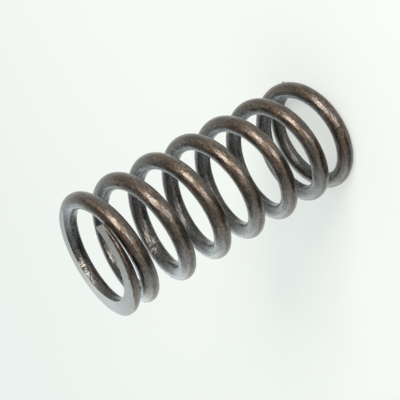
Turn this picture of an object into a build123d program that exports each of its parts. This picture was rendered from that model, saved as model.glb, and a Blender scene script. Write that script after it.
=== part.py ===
from build123d import *
import math
import os

# Clutch spring: one length of round wire, coiled right-handed into a compression spring.
# Both ends are closed up and ground flat, so that the spring stands square on either end.
# It stands on its lower end. The origin is on the coil's axis, in that end's ground plane.
# +Z runs up the axis, and the wire begins at the lower end, on the +X side.

# Driving sizes in millimetres, turns and degrees
outer_diameter = 18.0  # across the outside of the coil
wire_diameter = 2.4
free_length = 40.6  # from one ground face to the other, with no load
total_turns = 7.82  # from one wire end to the other, along the middle of the wire
closed_turns = 0.58  # at each end, wound at the closing pitch
transition_turns = 0.62  # next to them, over which the pitch opens up to the active pitch
tip_gap = 0.1  # between a wire end and the coil behind it
lower_tip_thickness = 1.1  # what the grinding leaves of the wire at its lower end
upper_tip_thickness = 0.75  # the same at its upper end
shear_angle = 30.0  # of the cut across the wire, away from square, seen along the axis
end_stretch = 0.25  # turns of each sheared end, which is wound by itself and then joined to the rest
path_points_per_turn = 16

# Sizes that follow from them
wire_radius = wire_diameter / 2
coil_radius = (outer_diameter - wire_diameter) / 2
spare_wire = wire_diameter / (2 * math.pi * coil_radius)  # turns that the cut at each end takes off


def opened_turns(turns_from_end):
    """Turns gathered at the active pitch, in so many turns of wire from an end: none while it is closed."""
    share = (turns_from_end - closed_turns) / transition_turns
    share = min(max(share, 0.0), 1.0)
    in_transition = transition_turns * (share**3 - share**4 / 2)
    past_transition = max(turns_from_end - closed_turns - transition_turns, 0.0)
    return in_transition + past_transition


# The pitch rises from the closing pitch to the active one at each end. The two follow from the free length
# and from the first turn's rise, which leaves the tip gap.
start_height = lower_tip_thickness - wire_radius
end_height = free_length - upper_tip_thickness + wire_radius
first_turn_rise = wire_diameter + tip_gap
active_turns = 2 * opened_turns(total_turns) - total_turns
extra_pitch = (end_height - start_height - total_turns * first_turn_rise) / (
    active_turns - total_turns * opened_turns(1.0)
)
closing_pitch = first_turn_rise - extra_pitch * opened_turns(1.0)


def centre_height(turns):
    """Height of the wire's centre line after so many turns from its lower end."""
    opened = opened_turns(turns) + opened_turns(total_turns) - opened_turns(total_turns - turns) - turns
    return start_height + closing_pitch * turns + extra_pitch * opened


def centre_point(turns):
    """Point of the wire's centre line."""
    angle = 2 * math.pi * turns
    return Vector(coil_radius * math.cos(angle), coil_radius * math.sin(angle), centre_height(turns))


def wire_direction(turns):
    """Unit vector along the wire, from the height that it gains over a short step each way."""
    step = 0.0001
    rise_per_turn = (centre_height(turns + step) - centre_height(turns - step)) / (2 * step)
    angle = 2 * math.pi * turns
    around = Vector(-math.sin(angle), math.cos(angle), 0)
    return (around * (2 * math.pi * coil_radius) + Vector(0, 0, rise_per_turn)).normalized()


def wire_stretch(first, last):
    """Round wire from one turn to another, cut off square at both."""
    steps = math.ceil((last - first) * path_points_per_turn)
    points = [centre_point(first + (last - first) * step / steps) for step in range(steps + 1)]
    directions = [wire_direction(first), wire_direction(last)]
    path = Spline(points, tangents=directions, tangent_scalars=[1, 1])
    section = Plane(origin=points[0], z_dir=directions[0]) * Circle(wire_radius)
    return sweep(section, path=path, is_frenet=True)


def shear_plane(turns):
    """Upright plane of the oblique cut through the middle of the wire. It faces up the wire and outwards."""
    facing = Vector(0, 1, 0).rotate(Axis.Z, 360 * turns - shear_angle)
    return Plane(origin=centre_point(turns), z_dir=facing)


def sheared_wire():
    """The wire as coiled, before grinding: both sheared ends and the middle, end to end."""
    lower_stock = wire_stretch(-spare_wire, end_stretch)
    middle = wire_stretch(end_stretch, total_turns - end_stretch)
    upper_stock = wire_stretch(total_turns - end_stretch, total_turns + spare_wire)
    lower_end = split(lower_stock, bisect_by=shear_plane(0), keep=Keep.TOP)
    upper_end = split(upper_stock, bisect_by=shear_plane(total_turns), keep=Keep.BOTTOM)
    return lower_end + middle + upper_end


def ground_wire():
    """The coiled wire, with all below the lower ground plane and above the upper one ground away."""
    half_ground = split(sheared_wire(), bisect_by=Plane.XY, keep=Keep.TOP)
    return split(half_ground, bisect_by=Plane.XY.offset(free_length), keep=Keep.BOTTOM)


os.makedirs("parts", exist_ok=True)
spring = ground_wire()
export_step(spring, "parts/clutch_spring.step")
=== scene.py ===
import math

import bmesh
import bpy
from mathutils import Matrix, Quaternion, Vector, noise


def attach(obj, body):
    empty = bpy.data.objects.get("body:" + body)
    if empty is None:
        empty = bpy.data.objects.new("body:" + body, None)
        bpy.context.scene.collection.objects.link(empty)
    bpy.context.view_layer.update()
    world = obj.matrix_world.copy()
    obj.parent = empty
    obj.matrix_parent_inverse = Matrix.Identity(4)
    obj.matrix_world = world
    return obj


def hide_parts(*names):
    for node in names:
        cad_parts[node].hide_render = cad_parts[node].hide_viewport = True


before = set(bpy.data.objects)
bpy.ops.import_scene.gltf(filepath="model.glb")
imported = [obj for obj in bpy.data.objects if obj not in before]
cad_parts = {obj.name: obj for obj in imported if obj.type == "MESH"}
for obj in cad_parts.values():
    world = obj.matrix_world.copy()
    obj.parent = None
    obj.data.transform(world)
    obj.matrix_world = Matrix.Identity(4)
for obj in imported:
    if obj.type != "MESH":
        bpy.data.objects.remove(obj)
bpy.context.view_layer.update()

# The clutch spring stands on its lower end, with the coil's axis on Z. Lengths are in metres. Only the places
# in the uncoiled wire that materials use are in millimetres: along the wire, and outward and upward in it.
MM = 0.001

# Driving sizes of the wire, as the CAD model has them
OUTER_DIAMETER = 18.0 * MM
WIRE_DIAMETER = 2.4 * MM
FREE_LENGTH = 40.6 * MM
TOTAL_TURNS = 7.82
CLOSED_TURNS = 0.58  # at each end, wound at the closing pitch
TRANSITION_TURNS = 0.62  # next to them, over which the pitch opens up to the active pitch
TIP_GAP = 0.1 * MM  # between a wire end and the coil behind it
LOWER_TIP_THICKNESS = 1.1 * MM
UPPER_TIP_THICKNESS = 0.75 * MM
SHEAR_ANGLE = math.radians(30.0)

# Sizes that follow from them
WIRE_RADIUS = WIRE_DIAMETER / 2
COIL_RADIUS = (OUTER_DIAMETER - WIRE_DIAMETER) / 2
TURN_LENGTH = 2 * math.pi * COIL_RADIUS  # once round the middle of the wire, without the climb
START_HEIGHT = LOWER_TIP_THICKNESS - WIRE_RADIUS
END_HEIGHT = FREE_LENGTH - UPPER_TIP_THICKNESS + WIRE_RADIUS

# The upper end coil lies nearer the coil behind it than an even closing pitch gives. Its places are
# counted in turns from its tip.
SETTLED_DROP = 0.32 * MM
SETTLED_FULLY = 0.16  # where the drop is reached
SETTLED_FADE = (0.25, 0.95)  # where it fades out again

# Outer edge of each ground face, rolled over beside the tip. Sizes are shares of the wire's radius.
ROLLED_WIDTH = 0.56
ROLLED_DEPTH = 0.22
ROLLED_RISE = (-0.012, 0.055)  # turns from the tip over which it grows
ROLLED_FADE = (0.14, 0.27)  # and over which it ends

# Burr along each ground face's outer edge, in shares of the wire's radius too
BURR_WIDTH = 0.11
BURR_REACH = 0.996  # the farthest that it gets from the middle of the face
BURR_DROP = 0.005  # of its crest below the face
BURR_STUMP = 0.35  # share of the width that is left where it has broken off
BURR_NARROW = 0.3  # share of the width where the edge isn't rolled over
BURR_WHOLENESS = 0.42  # on average, from 0 where it has broken off to 1 where it is whole
BURR_CHANGES = ((46, 7.3, 1.7, 1.0), (130, 3.1, 5.2, 0.6))  # noise: spots in a turn, two offsets, weight

# Groove outside the burr and bulge outside the groove, down to the round of the wire, in the same shares
GROOVE_WIDTH = 0.35 * BURR_WIDTH
GROOVE_REACH = 0.998
GROOVE_DROP = 0.02
GROOVE_UNDERCUT = 0.05  # how much deeper it is beside a whole burr
BULGE_WIDTH = 0.72  # share of the way from the groove to the round of the wire
BULGE_DROP = 0.4  # share of the way down

# The mesh: rings of points along the wire
RINGS_PER_TURN = 128
FLAT_STEPS = 9  # across each ground flat, or where it would be
RIM_STEPS = 4  # from a flat's edge to the round of the wire, over burr, groove and bulge where it has them
RIM_ANGLE = math.radians(2.0)  # of each of these steps round the wire, where there is no burr
ARC_STEPS = 15  # round each side of the wire, between the rims
SHARP_FLAT = math.radians(24.0)  # from this half-angle on, a flat has crisp edges
LEAST_FLAT = math.radians(7.0)  # half-angle of the strip that stands for a flat where the wire isn't ground

# Sheared tips of the wire
SHEAR_FADE = 2.4 * MM  # length of wire over which the rings turn square again behind a tip
BEVEL_START = 0.45 * WIRE_RADIUS  # how far out from the middle of the lower tip its bevelled corner begins
BEVEL_SLOPE = 0.9  # of that corner, as a share of the slope of the cut
CAP_RINGS = (0.96, 0.78, 0.56, 0.3)  # inner rings of a tip's face, as shares of its outline
CAP_ROUGHNESS = 0.03 * MM
CAP_GRAIN = 2.6  # spots in a millimetre

# Places of the finishes in the mesh's list of materials, where the plain wire's comes first
GROUND_FINISH = 1
SHEARED_FINISH = 2
BURR_FINISH = 3

# Scuffs inside the coil: where the middle of each lies in the uncoiled wire
SCUFFS = ((355.7, -1.08, 0.5), (260.1, -1.1, -0.45), (261.6, -0.92, 0.76))
SCUFF_CORE = 0.35  # millimetres from its middle, up to which a scuff is whole
SCUFF_REACH = 0.85  # and from which on there is none

# Depths of the marks in the finishes
LINE_DEPTH = 0.035 * MM
STREAK_DEPTH = 0.1 * MM
GRAIN_DEPTH = 0.036 * MM
PIT_DEPTH = 0.025 * MM
SCUFF_DEPTH = 0.12 * MM
GROUND_LINE_DEPTH = 0.008 * MM
SHEARED_DEPTH = 0.03 * MM

# Where the finishes change, in millimetres of the uncoiled wire
OUTER_SIDE = (-0.5, 0.3)  # outward from its middle, over which its grey turns brown
GROUND_FACE_SPAN = 32.0  # along it from a tip, over which the ground face's colours run

# Marks in the finishes: colours, and for the pits the values of their noise from inside to outside
PIT_RIM = (0.25, 0.31)
GRAIN_DARK = (0.012, 0.01, 0.01)
PIT_DARK = (0.006, 0.005, 0.005)
GROUND_LINE_GREY = (0.2, 0.195, 0.19)
GROUND_CLOUD_GREY = (0.3, 0.28, 0.26)
GROUND_GRAIN_DARK = (0.09, 0.086, 0.08)

# Camera: the photograph's view of the spring, which there lies on its side and here stands
CAMERA_LOCATION = Vector((3.65, -118.11, 82.77)) * MM
CAMERA_AIM = Vector((-0.42, 0.94, 22.18)) * MM
CAMERA_ROLL = math.radians(-119.92)
CAMERA_LENS = 84.09  # millimetres, as is the width of the sensor
CAMERA_SENSOR = 36.0

# Colours of the lamps
WARM_LIGHT = (1.0, 0.91, 0.81)
COOL_LIGHT = (0.86, 0.97, 1.0)

# Surroundings of the studio
WORLD_COLOUR = (0.94, 1.0, 0.98)
WORLD_STRENGTHS = (0.6, 1.0)  # as light on the surfaces, and as the camera and the reflections see them

# Floor of the studio
FLOOR_HALF_WIDTH = 6.0
FLOOR_COLOUR = (0.76, 0.79, 0.775)
FLOOR_WHITE = (0.88, 0.925, 0.9)
FLOOR_WHITE_SHARE = 0.55  # how far the floor shows as plain white near the spring
FLOOR_FADE = (0.2, 0.5)  # distances from the spring over which the rest of it turns plain white too

# Dark screen of the studio: a dome that reaches the floor on the camera's side and is open below on the other
SCREEN_RADIUS = 0.7
SCREEN_FACING = math.radians(-75.0)  # the middle of the side where it reaches the floor, round from +X
SCREEN_HALF_WIDTH = math.radians(110.0)  # of that side
SCREEN_OPEN_HEIGHT = math.radians(52.0)  # elevation of its rim on the open side
SCREEN_DARKENING = (0.2, 0.5)  # heights over which its felt gets darker
SCREEN_ROWS = 12
SCREEN_COLUMNS = 72
SCREEN_WELD = 0.01 * MM  # its points at the very top are nearer than this, and become one

# Bright card of the studio, on the open side
CARD_RADIUS = 0.5
CARD_FACING = math.radians(140.0)  # its middle, round from +X
CARD_HALF_WIDTH = math.radians(62.0)
CARD_TOP = math.radians(38.0)  # elevation of its upper edge
CARD_STRENGTHS = (1.3, 2.3)  # of its glow, at the edges and in the middle
CARD_FADE_ASIDE = 0.35  # share of its half-width from which the glow fades
CARD_FADE_ABOVE = 0.3  # share of its height from which the glow fades
CARD_ROWS = 8
CARD_COLUMNS = 32

# Dark card of the studio, on the floor in front of the spring on the left
FLOOR_CARD_RADII = (11.0 * MM, 160.0 * MM)
FLOOR_CARD_ANGLES = (math.radians(200.0), math.radians(265.0))  # round from +X
FLOOR_CARD_HEIGHT = 0.1 * MM
FLOOR_CARD_STEPS = 24
FLOOR_CARD_COLOUR = (0.05, 0.048, 0.046)


def opened_turns(turns_from_end):
    """Turns gathered at the active pitch, in so many turns of wire from an end."""
    share = (turns_from_end - CLOSED_TURNS) / TRANSITION_TURNS
    share = min(max(share, 0.0), 1.0)
    in_transition = TRANSITION_TURNS * (share**3 - share**4 / 2)
    return in_transition + max(turns_from_end - CLOSED_TURNS - TRANSITION_TURNS, 0.0)


FIRST_TURN_RISE = WIRE_DIAMETER + TIP_GAP
ACTIVE_TURNS = 2 * opened_turns(TOTAL_TURNS) - TOTAL_TURNS
EXTRA_PITCH = (END_HEIGHT - START_HEIGHT - TOTAL_TURNS * FIRST_TURN_RISE) / (
    ACTIVE_TURNS - TOTAL_TURNS * opened_turns(1.0)
)
CLOSING_PITCH = FIRST_TURN_RISE - EXTRA_PITCH * opened_turns(1.0)


def smooth_step(value, low, high):
    """0 below the range, 1 above it and an even curve between."""
    share = min(max((value - low) / (high - low), 0.0), 1.0)
    return share**2 * (3 - 2 * share)


def between(first, last, share):
    """Number at a share of the way from the first to the last."""
    return first + (last - first) * share


def direction_at(azimuth, elevation=0.0):
    """Unit vector at an azimuth, round from +X, and an elevation."""
    level = math.cos(elevation)
    return Vector((math.cos(azimuth) * level, math.sin(azimuth) * level, math.sin(elevation)))


def centre_height(turns):
    """Height of the wire's centre line after so many turns from its lower end."""
    from_tip = TOTAL_TURNS - turns
    opened = opened_turns(turns) + opened_turns(TOTAL_TURNS) - opened_turns(from_tip) - turns
    settled = smooth_step(from_tip, 0.0, SETTLED_FULLY) - smooth_step(from_tip, *SETTLED_FADE)
    return START_HEIGHT + CLOSING_PITCH * turns + EXTRA_PITCH * opened - SETTLED_DROP * settled


def slope_angle(turns):
    """How steeply the wire climbs, from the height that it gains over a short step each way."""
    step = 0.0005
    rise = centre_height(turns + step) - centre_height(turns - step)
    return math.atan2(rise, 2 * step * TURN_LENGTH)


def wire_point(turns, outward_offset, upward_offset):
    """Point of the wire's section, from its offsets from the centre of the wire."""
    angle = 2 * math.pi * turns
    slope = slope_angle(turns)
    outward = direction_at(angle)
    around = Vector((-math.sin(angle), math.cos(angle), 0.0))
    upward = Vector((0.0, 0.0, math.cos(slope))) - around * math.sin(slope)
    centre = outward * COIL_RADIUS + Vector((0.0, 0.0, centre_height(turns)))
    return centre + outward * outward_offset + upward * upward_offset


# In what follows, the direction of a flat is 1 for the upper one and -1 for the lower one. Points round the
# wire are (across, rise, kind), in shares of its radius: across the flat from its middle, and towards it.


def cut_angle(turns, direction):
    """Half-angle of the section that a ground plane cuts off the wire, or 0 where it cuts nothing off."""
    height = centre_height(turns)
    room = FREE_LENGTH - height if direction == 1 else height
    share = room / (WIRE_RADIUS * math.cos(slope_angle(turns)))
    return math.acos(min(max(share, -1.0), 1.0))


def flat_angle(turns, direction):
    """Half-angle of a flat, or of the strip that stands for it."""
    return max(cut_angle(turns, direction), LEAST_FLAT)


def is_ground(turns, direction):
    """Whether a flat is really ground here."""
    return cut_angle(turns, direction) > LEAST_FLAT


def rolled_share(turns):
    """How far a ground face's outer edge is rolled over: wholly beside a tip, and hardly or not elsewhere."""
    from_tip = min(turns, TOTAL_TURNS - turns)
    return smooth_step(from_tip, *ROLLED_RISE) - smooth_step(from_tip, *ROLLED_FADE)


def burr_share(turns, direction):
    """How whole the ragged burr is along a flat's outer edge: 0 where it has broken off."""
    share = BURR_WHOLENESS
    for spots, aside, above, weight in BURR_CHANGES:
        share += weight * noise.noise(Vector((turns * spots, direction * aside, direction * above)))
    return min(max(share, 0.0), 1.0)


def edge_across(turns, direction, is_outer):
    """Distance across a flat from its middle to its edge on the outer or the inner side of the coil."""
    across = math.sin(flat_angle(turns, direction))
    if is_outer and is_ground(turns, direction):
        across -= ROLLED_WIDTH * rolled_share(turns)
    return across


def foot_angle(turns, direction, is_outer):
    """Angle from the middle of a flat to where its rim has run out into the round of the wire."""
    half = flat_angle(turns, direction)
    foot = half + RIM_STEPS * RIM_ANGLE
    if is_outer and is_ground(turns, direction):
        level = max(math.cos(half) - ROLLED_DEPTH * rolled_share(turns), -1.0)
        foot = max(foot, math.acos(level))
    return foot


def plain_rim(turns, direction):
    """Points of a flat's rim with no burr: they lie on the round of the wire."""
    half = flat_angle(turns, direction)
    angles = [half + RIM_ANGLE * step for step in range(1, RIM_STEPS + 1)]
    return [(math.sin(angle), math.cos(angle), "round") for angle in angles]


def burred_rim(turns, direction):
    """Points of a ground flat's rim on the outer side: crest of the burr, groove, bulge and foot."""
    level = math.cos(flat_angle(turns, direction))
    whole = burr_share(turns, direction)
    remaining = between(BURR_STUMP, 1.0, whole)
    width = BURR_WIDTH * remaining * between(BURR_NARROW, 1.0, rolled_share(turns))
    burr = min(edge_across(turns, direction, True) + width, BURR_REACH)
    groove = min(burr + GROOVE_WIDTH, GROOVE_REACH)
    foot = foot_angle(turns, direction, True)
    bulge = between(groove, math.sin(foot), BULGE_WIDTH)
    return [
        (burr, level - BURR_DROP, "burr"),
        (groove, level - GROOVE_DROP - GROOVE_UNDERCUT * whole, "round"),
        (bulge, between(level, math.cos(foot), BULGE_DROP), "round"),
        (math.sin(foot), math.cos(foot), "round"),
    ]


def rim_points(turns, direction, is_outer):
    """Points from a flat's edge to the round of the wire, on the outer or the inner side of the coil."""
    if is_outer and is_ground(turns, direction):
        return burred_rim(turns, direction)
    return plain_rim(turns, direction)


def flat_points(turns, direction):
    """Points from one edge of a flat to the other."""
    half = flat_angle(turns, direction)
    first = edge_across(turns, direction, direction == 1)
    last = -edge_across(turns, direction, direction == -1)
    points = []
    for step in range(FLAT_STEPS + 1):
        across = between(first, last, step / FLAT_STEPS)
        if not is_ground(turns, direction):
            points.append((across, math.sqrt(1 - across**2), "round"))
        elif step in (0, FLAT_STEPS) and half > SHARP_FLAT:
            points.append((across, math.cos(half), "edge"))
        else:
            points.append((across, math.cos(half), "flat"))
    return points


def arc_points(turns, direction):
    """Points round one side of the wire, from the rim of a flat to the rim of the other."""
    is_outer = direction == -1
    first = foot_angle(turns, direction, is_outer)
    last = math.pi - foot_angle(turns, -direction, is_outer)
    angles = [between(first, last, step / ARC_STEPS) for step in range(1, ARC_STEPS)]
    return [(-math.sin(angle), math.cos(angle), "round") for angle in angles]


def side_of_ring(turns, direction):
    """Half of a ring: a flat between its two rims, then the round of the wire up to the other flat's rim.

    The upper flat's half begins on the outer side of the coil and the lower flat's on the inner side.
    Each point is (outward, upward, kind), in metres.
    """
    points = rim_points(turns, direction, direction == 1)[::-1]
    points += flat_points(turns, direction)
    for across, rise, kind in rim_points(turns, direction, direction == -1):
        points.append((-across, rise, kind))
    points += arc_points(turns, direction)
    scale = direction * WIRE_RADIUS
    return [(scale * across, scale * rise, kind) for across, rise, kind in points]


def shear_shift(turns, outward):
    """Turns by which a point moves along the wire, so that the wire's tips are cut obliquely.

    The outer half of the lower tip is blunt, and its outer corner is bevelled.
    """
    from_tip = min(turns, TOTAL_TURNS - turns) * TURN_LENGTH
    fade = max(1 - from_tip / SHEAR_FADE, 0.0)
    if turns < TOTAL_TURNS / 2:
        outward = min(outward, 0.0) - BEVEL_SLOPE * max(outward - BEVEL_START, 0.0)
    return -fade * outward * math.tan(SHEAR_ANGLE) / (COIL_RADIUS + outward) / (2 * math.pi)


def add_ring(bm, uncoiled, turns):
    """One ring of vertices. Returns them with their kinds."""
    ring = []
    for direction, plane in ((1, FREE_LENGTH), (-1, 0.0)):
        for outward, upward, kind in side_of_ring(turns, direction):
            place = wire_point(turns + shear_shift(turns, outward), outward, upward)
            if kind in ("edge", "flat"):
                place.z = plane
            place.z = min(max(place.z, 0.0), FREE_LENGTH)
            vert = bm.verts.new(place)
            vert[uncoiled] = Vector((turns * TURN_LENGTH, outward, upward)) / MM
            ring.append((vert, kind))
    return ring


def looped_pairs(items):
    """Each item with the one after it, all the way round."""
    return zip(items, items[1:] + items[:1])


def join_rings(bm, lower, upper):
    """Faces between two rings, each with the finish of its points. The edges of the flats are sharp."""
    for (below, above), (next_below, next_above) in looped_pairs(list(zip(lower, upper))):
        corners = [below, above, next_above, next_below]
        face = bm.faces.new([vert for vert, kind in corners])
        kinds = [kind for vert, kind in corners]
        if kinds.count("burr") == 2:
            face.material_index = BURR_FINISH
        elif "round" not in kinds:
            face.material_index = GROUND_FINISH
        face.smooth = True
        if kinds[0] == "edge" and kinds[1] == "edge":
            bm.edges.get((below[0], above[0])).smooth = False


def add_tip_face(bm, corners, facing):
    """One face of a sheared tip."""
    if facing < 0:
        corners.reverse()
    face = bm.faces.new(corners)
    face.material_index = SHEARED_FINISH
    face.smooth = True


def add_tip(bm, uncoiled, ring, facing):
    """Sheared end of the wire: rings that close in on its middle, slightly uneven.

    The facing is 1 for the lower tip and -1 for the upper one.
    """
    verts = [vert for vert, kind in ring]
    middle = sum((vert.co for vert in verts), Vector()) / len(verts)
    normal = (verts[0].co - middle).cross(verts[len(verts) // 3].co - middle).normalized()
    outline = verts
    for share in CAP_RINGS:
        inner = []
        for vert in verts:
            place = middle.lerp(vert.co, share)
            uneven = noise.noise(place / MM * CAP_GRAIN) * CAP_ROUGHNESS
            new_vert = bm.verts.new(place + normal * uneven)
            new_vert.co.z = min(max(new_vert.co.z, 0.0), FREE_LENGTH)
            new_vert[uncoiled] = vert[uncoiled]
            inner.append(new_vert)
        for (vert, inner_vert), (following, next_inner) in looped_pairs(list(zip(outline, inner))):
            add_tip_face(bm, [vert, following, next_inner, inner_vert], facing)
        outline = inner
    centre = bm.verts.new(middle)
    centre[uncoiled] = verts[0][uncoiled]
    for vert, following in looped_pairs(outline):
        add_tip_face(bm, [vert, following, centre], facing)
    for vert, following in looped_pairs(verts):
        bm.edges.get((vert, following)).smooth = False


def add_object(name, bm):
    """Object with the mesh that has been built."""
    mesh = bpy.data.meshes.new(name)
    bm.to_mesh(mesh)
    bm.free()
    added = bpy.data.objects.new(name, mesh)
    bpy.context.collection.objects.link(added)
    return added


def build_spring():
    """The whole wire as one closed mesh."""
    bm = bmesh.new()
    uncoiled = bm.verts.layers.float_vector.new("uncoiled")
    count = math.ceil(TOTAL_TURNS * RINGS_PER_TURN)
    rings = [add_ring(bm, uncoiled, TOTAL_TURNS * index / count) for index in range(count + 1)]
    for lower, upper in zip(rings, rings[1:]):
        join_rings(bm, lower, upper)
    add_tip(bm, uncoiled, rings[0], 1)
    add_tip(bm, uncoiled, rings[-1], -1)
    bm.normal_update()
    return add_object("coiled_wire", bm)


def new_material(name):
    """A node material. Returns it with its tree and its shader."""
    material = bpy.data.materials.new(name)
    material.use_nodes = True
    tree = material.node_tree
    return material, tree, tree.nodes["Principled BSDF"]


def matt_material(name, roughness, gloss):
    """A node material with little gloss. Returns it with its tree and its shader."""
    material, tree, shader = new_material(name)
    shader.inputs["Roughness"].default_value = roughness
    shader.inputs["Specular IOR Level"].default_value = gloss
    return material, tree, shader


def calculated(tree, operation, first, second):
    """Result of a math operation on two values, or on a value and a number."""
    node = tree.nodes.new("ShaderNodeMath")
    node.operation = operation
    tree.links.new(first, node.inputs[0])
    if isinstance(second, float):
        node.inputs[1].default_value = second
    else:
        tree.links.new(second, node.inputs[1])
    return node.outputs[0]


def mapped(tree, value, source, target=(0.0, 1.0)):
    """A value stretched from one range to another, and kept within it."""
    node = tree.nodes.new("ShaderNodeMapRange")
    for socket, number in zip(node.inputs[1:5], (*source, *target)):
        socket.default_value = number
    tree.links.new(value, node.inputs["Value"])
    return node.outputs["Result"]


def coordinate(tree, place, axis):
    """One coordinate of a place."""
    parts = tree.nodes.new("ShaderNodeSeparateXYZ")
    tree.links.new(place, parts.inputs["Vector"])
    return parts.outputs[axis]


def distance_to(tree, place, point):
    """How far a place is from a fixed point."""
    node = tree.nodes.new("ShaderNodeVectorMath")
    node.operation = "DISTANCE"
    node.inputs[1].default_value = point
    tree.links.new(place, node.inputs[0])
    return node.outputs["Value"]


def noise_value(tree, place, scale, detail, roughness):
    """Smooth noise at a place that is scaled along each axis."""
    scaled = tree.nodes.new("ShaderNodeVectorMath")
    scaled.operation = "MULTIPLY"
    scaled.inputs[1].default_value = scale
    tree.links.new(place, scaled.inputs[0])
    texture = tree.nodes.new("ShaderNodeTexNoise")
    texture.inputs["Scale"].default_value = 1.0
    texture.inputs["Detail"].default_value = detail
    texture.inputs["Roughness"].default_value = roughness
    tree.links.new(scaled.outputs[0], texture.inputs["Vector"])
    return texture.outputs["Fac"]


def uncoiled_place(tree):
    """The point's place in the uncoiled wire."""
    place = tree.nodes.new("ShaderNodeAttribute")
    place.attribute_name = "uncoiled"
    return place.outputs["Vector"]


def wire_noise(tree, along, across, detail, roughness):
    """Noise that runs with the wire, with so many spots in a millimetre along it and across it."""
    return noise_value(tree, uncoiled_place(tree), (along, across, across), detail, roughness)


def face_noise(tree, spots, detail, roughness):
    """Noise that runs with the object's axes, with so many spots in a millimetre along each."""
    place = tree.nodes.new("ShaderNodeTexCoord")
    scale = [number / MM for number in spots]
    return noise_value(tree, place.outputs["Object"], scale, detail, roughness)


def ramp(tree, value, stops):
    """A colour ramp over a value. Each stop is (position, colour)."""
    node = tree.nodes.new("ShaderNodeValToRGB")
    elements = node.color_ramp.elements
    while len(elements) < len(stops):
        elements.new(0.5)
    for element, (position, colour) in zip(elements, stops):
        element.position = position
        element.color = (*colour, 1.0)
    tree.links.new(value, node.inputs["Fac"])
    return node.outputs["Color"]


def mixed(tree, share, first, second):
    """Mix of two colours by a share. Each is a node's output or three numbers."""
    node = tree.nodes.new("ShaderNodeMix")
    node.data_type = "RGBA"
    tree.links.new(share, node.inputs["Factor"])
    for source, socket in ((first, node.inputs["A"]), (second, node.inputs["B"])):
        if isinstance(source, tuple):
            socket.default_value = (*source, 1.0)
        else:
            tree.links.new(source, socket)
    return node.outputs["Result"]


def bump(tree, height, distance, below=None):
    """Bump from a height, over another bump if one is given."""
    node = tree.nodes.new("ShaderNodeBump")
    node.inputs["Strength"].default_value = 1.0
    node.inputs["Distance"].default_value = distance
    tree.links.new(height, node.inputs["Height"])
    if below:
        tree.links.new(below, node.inputs["Normal"])
    return node.outputs["Normal"]


def show_surface(tree, shading):
    """Makes this shading the material's surface."""
    tree.links.new(shading, tree.nodes["Material Output"].inputs["Surface"])


def seen_share(tree):
    """1 for what the camera sees, straight, in a reflection or through glass, and 0 for light on surfaces."""
    path = tree.nodes.new("ShaderNodeLightPath")
    seen = path.outputs["Is Camera Ray"]
    for kind in ("Is Glossy Ray", "Is Transmission Ray"):
        seen = calculated(tree, "MAXIMUM", seen, path.outputs[kind])
    return seen


def outer_side(tree):
    """0 where the wire faces the coil's axis and 1 where it faces away from it."""
    return mapped(tree, coordinate(tree, uncoiled_place(tree), "Y"), OUTER_SIDE)


def distance_from_tip(tree, farthest):
    """0 at the wire's nearest tip and 1 at this many millimetres along the wire from it, and beyond."""
    half_length = TURN_LENGTH * TOTAL_TURNS / 2 / MM
    nearest = calculated(tree, "PINGPONG", coordinate(tree, uncoiled_place(tree), "X"), half_length)
    return mapped(tree, nearest, (0.0, farthest))


def near_scuffs(tree):
    """1 in the core of each scuff and 0 beyond its reach."""
    place = uncoiled_place(tree)
    nearest, *others = [distance_to(tree, place, scuff) for scuff in SCUFFS]
    for distance in others:
        nearest = calculated(tree, "MINIMUM", nearest, distance)
    return mapped(tree, nearest, (SCUFF_CORE, SCUFF_REACH), (1.0, 0.0))


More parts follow.
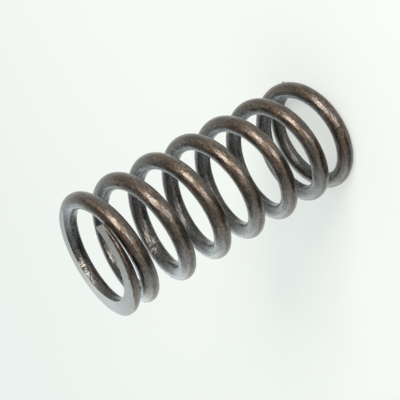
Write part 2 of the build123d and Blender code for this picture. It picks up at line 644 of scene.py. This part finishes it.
def tempered_steel():
    """Drawn wire, grey inside the coil and brown outside it.

    It has lines and streaks along it, grain, dark pits and a few scuffs.
    """
    material, tree, shader = new_material("tempered_steel")
    lines = wire_noise(tree, along=0.5, across=5.0, detail=2.0, roughness=0.4)
    streaks = wire_noise(tree, along=0.5, across=2.4, detail=2.0, roughness=0.4)
    patches = wire_noise(tree, along=0.22, across=0.5, detail=2.0, roughness=0.55)
    grain = wire_noise(tree, along=3.4, across=3.8, detail=1.0, roughness=0.4)
    pits = wire_noise(tree, along=3.4, across=5.2, detail=2.0, roughness=0.5)
    nicks = wire_noise(tree, along=2.9, across=1.3, detail=1.0, roughness=0.5)
    scuffs = near_scuffs(tree)

    # Grey on the side of the wire that faces the coil's axis, brown on the side that faces away, with grey
    # patches on the brown.
    outer_brown = [(0.3, (0.064, 0.044, 0.031)), (0.5, (0.1, 0.071, 0.05)), (0.7, (0.16, 0.116, 0.085))]
    grey = ramp(tree, lines, [(0.3, (0.062, 0.06, 0.06)), (0.7, (0.145, 0.142, 0.141))])
    worn_share = mapped(tree, patches, (0.45, 0.65), (0.0, 0.35))
    outside = mixed(tree, worn_share, ramp(tree, streaks, outer_brown), grey)
    tint = mixed(tree, outer_side(tree), grey, outside)
    grainy = mixed(tree, mapped(tree, grain, (0.34, 0.62), (0.65, 0.0)), tint, GRAIN_DARK)
    pitted = mixed(tree, mapped(tree, pits, PIT_RIM, (1.0, 0.0)), grainy, PIT_DARK)
    nicked = ramp(tree, nicks, [(0.42, (0.015, 0.013, 0.012)), (0.54, (0.3, 0.285, 0.265))])
    scuffed_share = calculated(tree, "MULTIPLY", scuffs, mapped(tree, nicks, (0.4, 0.6), (0.75, 1.0)))
    tree.links.new(mixed(tree, scuffed_share, pitted, nicked), shader.inputs["Base Color"])

    tree.links.new(mapped(tree, streaks, (0.3, 0.7), (0.4, 0.56)), shader.inputs["Roughness"])
    shader.inputs["Metallic"].default_value = 1.0
    shader.inputs["Coat Weight"].default_value = 1.0
    shader.inputs["Coat IOR"].default_value = 1.52
    shader.inputs["Coat Roughness"].default_value = 0.19

    relief = bump(tree, lines, LINE_DEPTH)
    relief = bump(tree, streaks, STREAK_DEPTH, relief)
    relief = bump(tree, grain, GRAIN_DEPTH, relief)
    relief = bump(tree, mapped(tree, pits, PIT_RIM), PIT_DEPTH, relief)
    relief = bump(tree, calculated(tree, "MULTIPLY", scuffs, nicks), SCUFF_DEPTH, relief)
    tree.links.new(relief, shader.inputs["Normal"])
    tree.links.new(relief, shader.inputs["Coat Normal"])
    return material


def ground_steel():
    """Bright face left by the grinding wheel: fine lines across it, grainier near the tip; its paleness along
    it is painted reflection.
    """
    material, tree, shader = new_material("ground_steel")
    lines = face_noise(tree, (0.9, 14.0, 0.9), detail=3.0, roughness=0.6)
    grain = face_noise(tree, (3.6, 3.6, 3.6), detail=2.0, roughness=0.5)
    cloud = face_noise(tree, (0.7, 0.7, 0.7), detail=3.0, roughness=0.55)
    from_tip = distance_from_tip(tree, GROUND_FACE_SPAN)
    # Painted reflection: the face is darker and browner near the tip and palest about three quarters along,
    # where it would mirror bright surroundings.
    stops = [
        (0.12, (0.22, 0.19, 0.155)),
        (0.25, (0.33, 0.325, 0.297)),
        (0.45, (0.38, 0.385, 0.37)),
        (0.6, (0.48, 0.47, 0.452)),
        (0.74, (0.52, 0.51, 0.48)),
        (0.9, (0.36, 0.35, 0.325)),
    ]
    tint = ramp(tree, from_tip, stops)
    lined = mixed(tree, mapped(tree, lines, (0.3, 0.7), (0.45, 0.0)), tint, GROUND_LINE_GREY)
    dull = mixed(tree, mapped(tree, cloud, (0.45, 0.7), (0.0, 0.3)), lined, GROUND_CLOUD_GREY)
    spots = mapped(tree, grain, (0.34, 0.56), (1.0, 0.0))
    near_tip = mapped(tree, from_tip, (0.18, 0.5), (0.7, 0.25))
    grainy = mixed(tree, calculated(tree, "MULTIPLY", spots, near_tip), dull, GROUND_GRAIN_DARK)
    tree.links.new(grainy, shader.inputs["Base Color"])
    tree.links.new(mapped(tree, lines, (0.3, 0.7), (0.3, 0.45)), shader.inputs["Roughness"])
    shader.inputs["Metallic"].default_value = 1.0
    tree.links.new(bump(tree, lines, GROUND_LINE_DEPTH), shader.inputs["Normal"])
    return material


def burr_steel():
    """Thin lip of bright metal along the ground face. Here and there it is dark."""
    material, tree, shader = new_material("burr_steel")
    breaks = wire_noise(tree, along=1.6, across=1.6, detail=2.0, roughness=0.5)
    tint = ramp(tree, breaks, [(0.36, (0.08, 0.066, 0.052)), (0.46, (0.4, 0.35, 0.29))])
    tree.links.new(tint, shader.inputs["Base Color"])
    shader.inputs["Metallic"].default_value = 1.0
    shader.inputs["Roughness"].default_value = 0.42
    return material


def sheared_steel():
    """Dull grey face where the wire was cut off."""
    material, tree, shader = new_material("sheared_steel")
    grain = face_noise(tree, (5.2, 5.2, 2.6), detail=4.0, roughness=0.65)
    tint = ramp(tree, grain, [(0.3, (0.12, 0.11, 0.105)), (0.75, (0.3, 0.28, 0.26))])
    tree.links.new(tint, shader.inputs["Base Color"])
    tree.links.new(mapped(tree, grain, (0.3, 0.7), (0.35, 0.55)), shader.inputs["Roughness"])
    shader.inputs["Metallic"].default_value = 1.0
    tree.links.new(bump(tree, grain, SHEARED_DEPTH), shader.inputs["Normal"])
    return material


def pale_floor():
    """Pale matt floor that shows partly as plain white, so that the shadow on it stays faint.

    Far from the spring it shows wholly so.
    """
    material, tree, shader = matt_material("pale_floor", roughness=0.8, gloss=0.2)
    shader.inputs["Base Color"].default_value = (*FLOOR_COLOUR, 1.0)
    plain = tree.nodes.new("ShaderNodeEmission")
    plain.inputs["Color"].default_value = (*FLOOR_WHITE, 1.0)
    place = tree.nodes.new("ShaderNodeNewGeometry")
    distance = distance_to(tree, place.outputs["Position"], (0.0, 0.0, 0.0))
    plain_share = mapped(tree, distance, FLOOR_FADE, (FLOOR_WHITE_SHARE, 1.0))
    blend = tree.nodes.new("ShaderNodeMixShader")
    tree.links.new(calculated(tree, "MULTIPLY", seen_share(tree), plain_share), blend.inputs["Fac"])
    tree.links.new(shader.outputs["BSDF"], blend.inputs[1])
    tree.links.new(plain.outputs["Emission"], blend.inputs[2])
    show_surface(tree, blend.outputs["Shader"])
    return material


def dark_felt():
    """Felt, pale grey near the floor and darker overhead."""
    material, tree, shader = matt_material("dark_felt", roughness=0.95, gloss=0.1)
    place = tree.nodes.new("ShaderNodeNewGeometry")
    height = coordinate(tree, place.outputs["Position"], "Z")
    above = mapped(tree, height, SCREEN_DARKENING)
    shade = ramp(tree, above, [(0.0, (0.82, 0.8, 0.78)), (1.0, (0.3, 0.3, 0.31))])
    tree.links.new(shade, shader.inputs["Base Color"])
    return material


def glowing_card():
    """Glow, brightest in the middle of the card."""
    material, tree, shader = new_material("bright_card")
    place = tree.nodes.new("ShaderNodeAttribute")
    place.attribute_name = "glow"
    light = tree.nodes.new("ShaderNodeEmission")
    light.inputs["Color"].default_value = (*COOL_LIGHT, 1.0)
    strength = mapped(tree, place.outputs["Fac"], (0.0, 1.0), CARD_STRENGTHS)
    tree.links.new(strength, light.inputs["Strength"])
    show_surface(tree, light.outputs["Emission"])
    return material


def dark_card():
    """Dark matt card."""
    material, tree, shader = matt_material("floor_card", roughness=0.95, gloss=0.1)
    shader.inputs["Base Color"].default_value = (*FLOOR_CARD_COLOUR, 1.0)
    return material


def join_rows(bm, rows):
    """Faces between neighbouring rows of vertices."""
    for lower, upper in zip(rows, rows[1:]):
        for step in range(len(lower) - 1):
            bm.faces.new([lower[step], lower[step + 1], upper[step + 1], upper[step]])


def add_mirrored(name, bm, material):
    """Object of the studio that shows in reflections alone: the camera and the light on surfaces miss it."""
    added = add_object(name, bm)
    added.data.materials.append(material)
    added.visible_camera = False
    added.visible_diffuse = False
    added.visible_shadow = False


def add_floor():
    """Pale floor in the plane of the lower ground end."""
    bm = bmesh.new()
    for x, y in ((-1, -1), (1, -1), (1, 1), (-1, 1)):
        bm.verts.new((x * FLOOR_HALF_WIDTH, y * FLOOR_HALF_WIDTH, 0.0))
    bm.faces.new(bm.verts)
    floor = add_object("floor", bm)
    floor.data.materials.append(pale_floor())


def add_dark_screen():
    """Dark dome overhead and on the camera's side. The metal mirrors dark there and white elsewhere."""
    bm = bmesh.new()
    rows = [[] for level in range(SCREEN_ROWS + 1)]
    for step in range(SCREEN_COLUMNS):
        angle = SCREEN_FACING + 2 * math.pi * step / SCREEN_COLUMNS
        from_middle = min(step, SCREEN_COLUMNS - step) * 2 * math.pi / SCREEN_COLUMNS
        rim = 0.0 if from_middle <= SCREEN_HALF_WIDTH else SCREEN_OPEN_HEIGHT
        for level, row in enumerate(rows):
            elevation = between(rim, math.pi / 2, level / SCREEN_ROWS)
            row.append(bm.verts.new(direction_at(angle, elevation) * SCREEN_RADIUS))
    join_rows(bm, [row + row[:1] for row in rows])
    bmesh.ops.remove_doubles(bm, verts=bm.verts, dist=SCREEN_WELD)
    add_mirrored("dark_screen", bm, dark_felt())


def add_bright_card():
    """Bright card, curved round the far side of the spring."""
    bm = bmesh.new()
    glow = bm.verts.layers.float.new("glow")
    rows = []
    for level in range(CARD_ROWS + 1):
        above = CARD_TOP * level / CARD_ROWS
        bright_above = 1 - smooth_step(above, CARD_FADE_ABOVE * CARD_TOP, CARD_TOP)
        height = Vector((0.0, 0.0, CARD_RADIUS * math.tan(above)))
        row = []
        for step in range(CARD_COLUMNS + 1):
            aside = 2 * step / CARD_COLUMNS - 1
            angle = CARD_FACING + CARD_HALF_WIDTH * aside
            vert = bm.verts.new(direction_at(angle) * CARD_RADIUS + height)
            vert[glow] = (1 - smooth_step(abs(aside), CARD_FADE_ASIDE, 1.0)) * bright_above
            row.append(vert)
        rows.append(row)
    join_rows(bm, rows)
    add_mirrored("bright_card", bm, glowing_card())


def add_floor_card():
    """Dark card on the floor, so that the front of the wire mirrors dark from below."""
    bm = bmesh.new()
    height = Vector((0.0, 0.0, FLOOR_CARD_HEIGHT))
    angles = [between(*FLOOR_CARD_ANGLES, step / FLOOR_CARD_STEPS) for step in range(FLOOR_CARD_STEPS + 1)]
    rows = []
    for radius in FLOOR_CARD_RADII:
        rows.append([bm.verts.new(direction_at(angle) * radius + height) for angle in angles])
    join_rows(bm, rows)
    add_mirrored("floor_card", bm, dark_card())


def add_lamp(name, azimuth, elevation, distance, size, power, colour):
    """Soft lamp, aimed at the middle of the spring from an azimuth and an elevation in degrees."""
    data = bpy.data.lights.new(name, "AREA")
    data.shape = "RECTANGLE"
    data.size, data.size_y = size
    data.energy = power
    data.color = colour
    lamp = bpy.data.objects.new(name, data)
    middle = Vector((0.0, 0.0, FREE_LENGTH / 2))
    lamp.location = middle + direction_at(math.radians(azimuth), math.radians(elevation)) * distance
    lamp.rotation_mode = "QUATERNION"
    lamp.rotation_quaternion = (middle - lamp.location).to_track_quat("-Z", "Y")
    lamp.visible_camera = False
    bpy.context.collection.objects.link(lamp)


def add_world():
    """Even pale surroundings: white to the camera and in reflections, and dimmer as light."""
    world = bpy.data.worlds.new("studio")
    world.use_nodes = True
    tree = world.node_tree
    background = tree.nodes["Background"]
    background.inputs["Color"].default_value = (*WORLD_COLOUR, 1.0)
    strength = mapped(tree, seen_share(tree), (0.0, 1.0), WORLD_STRENGTHS)
    tree.links.new(strength, background.inputs["Strength"])
    bpy.context.scene.world = world


def add_camera():
    """The photograph's view."""
    data = bpy.data.cameras.new("camera")
    data.lens = CAMERA_LENS
    data.sensor_width = CAMERA_SENSOR
    data.clip_start = 1.0 * MM
    camera = bpy.data.objects.new("camera", data)
    camera.location = CAMERA_LOCATION
    camera.rotation_mode = "QUATERNION"
    look = (CAMERA_AIM - CAMERA_LOCATION).to_track_quat("-Z", "Y")
    camera.rotation_quaternion = look @ Quaternion((0.0, 0.0, 1.0), CAMERA_ROLL)
    bpy.context.collection.objects.link(camera)
    bpy.context.scene.camera = camera


spring = build_spring()
for finish in (tempered_steel(), ground_steel(), sheared_steel(), burr_steel()):
    spring.data.materials.append(finish)
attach(spring, "root")
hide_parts("clutch_spring")

add_floor()
add_dark_screen()
add_bright_card()
add_floor_card()
add_lamp("low_lamp", 270.0, 2.0, distance=0.5, size=(0.15, 0.25), power=1.6, colour=WARM_LIGHT)
add_lamp("key_lamp", 306.0, 34.0, distance=0.5, size=(0.2, 0.34), power=2.9, colour=WARM_LIGHT)
add_lamp("fill_lamp", 155.0, 8.0, distance=0.6, size=(1.2, 0.5), power=3.6, colour=COOL_LIGHT)
add_world()
add_camera()
bpy.context.scene.view_settings.view_transform = "Standard"
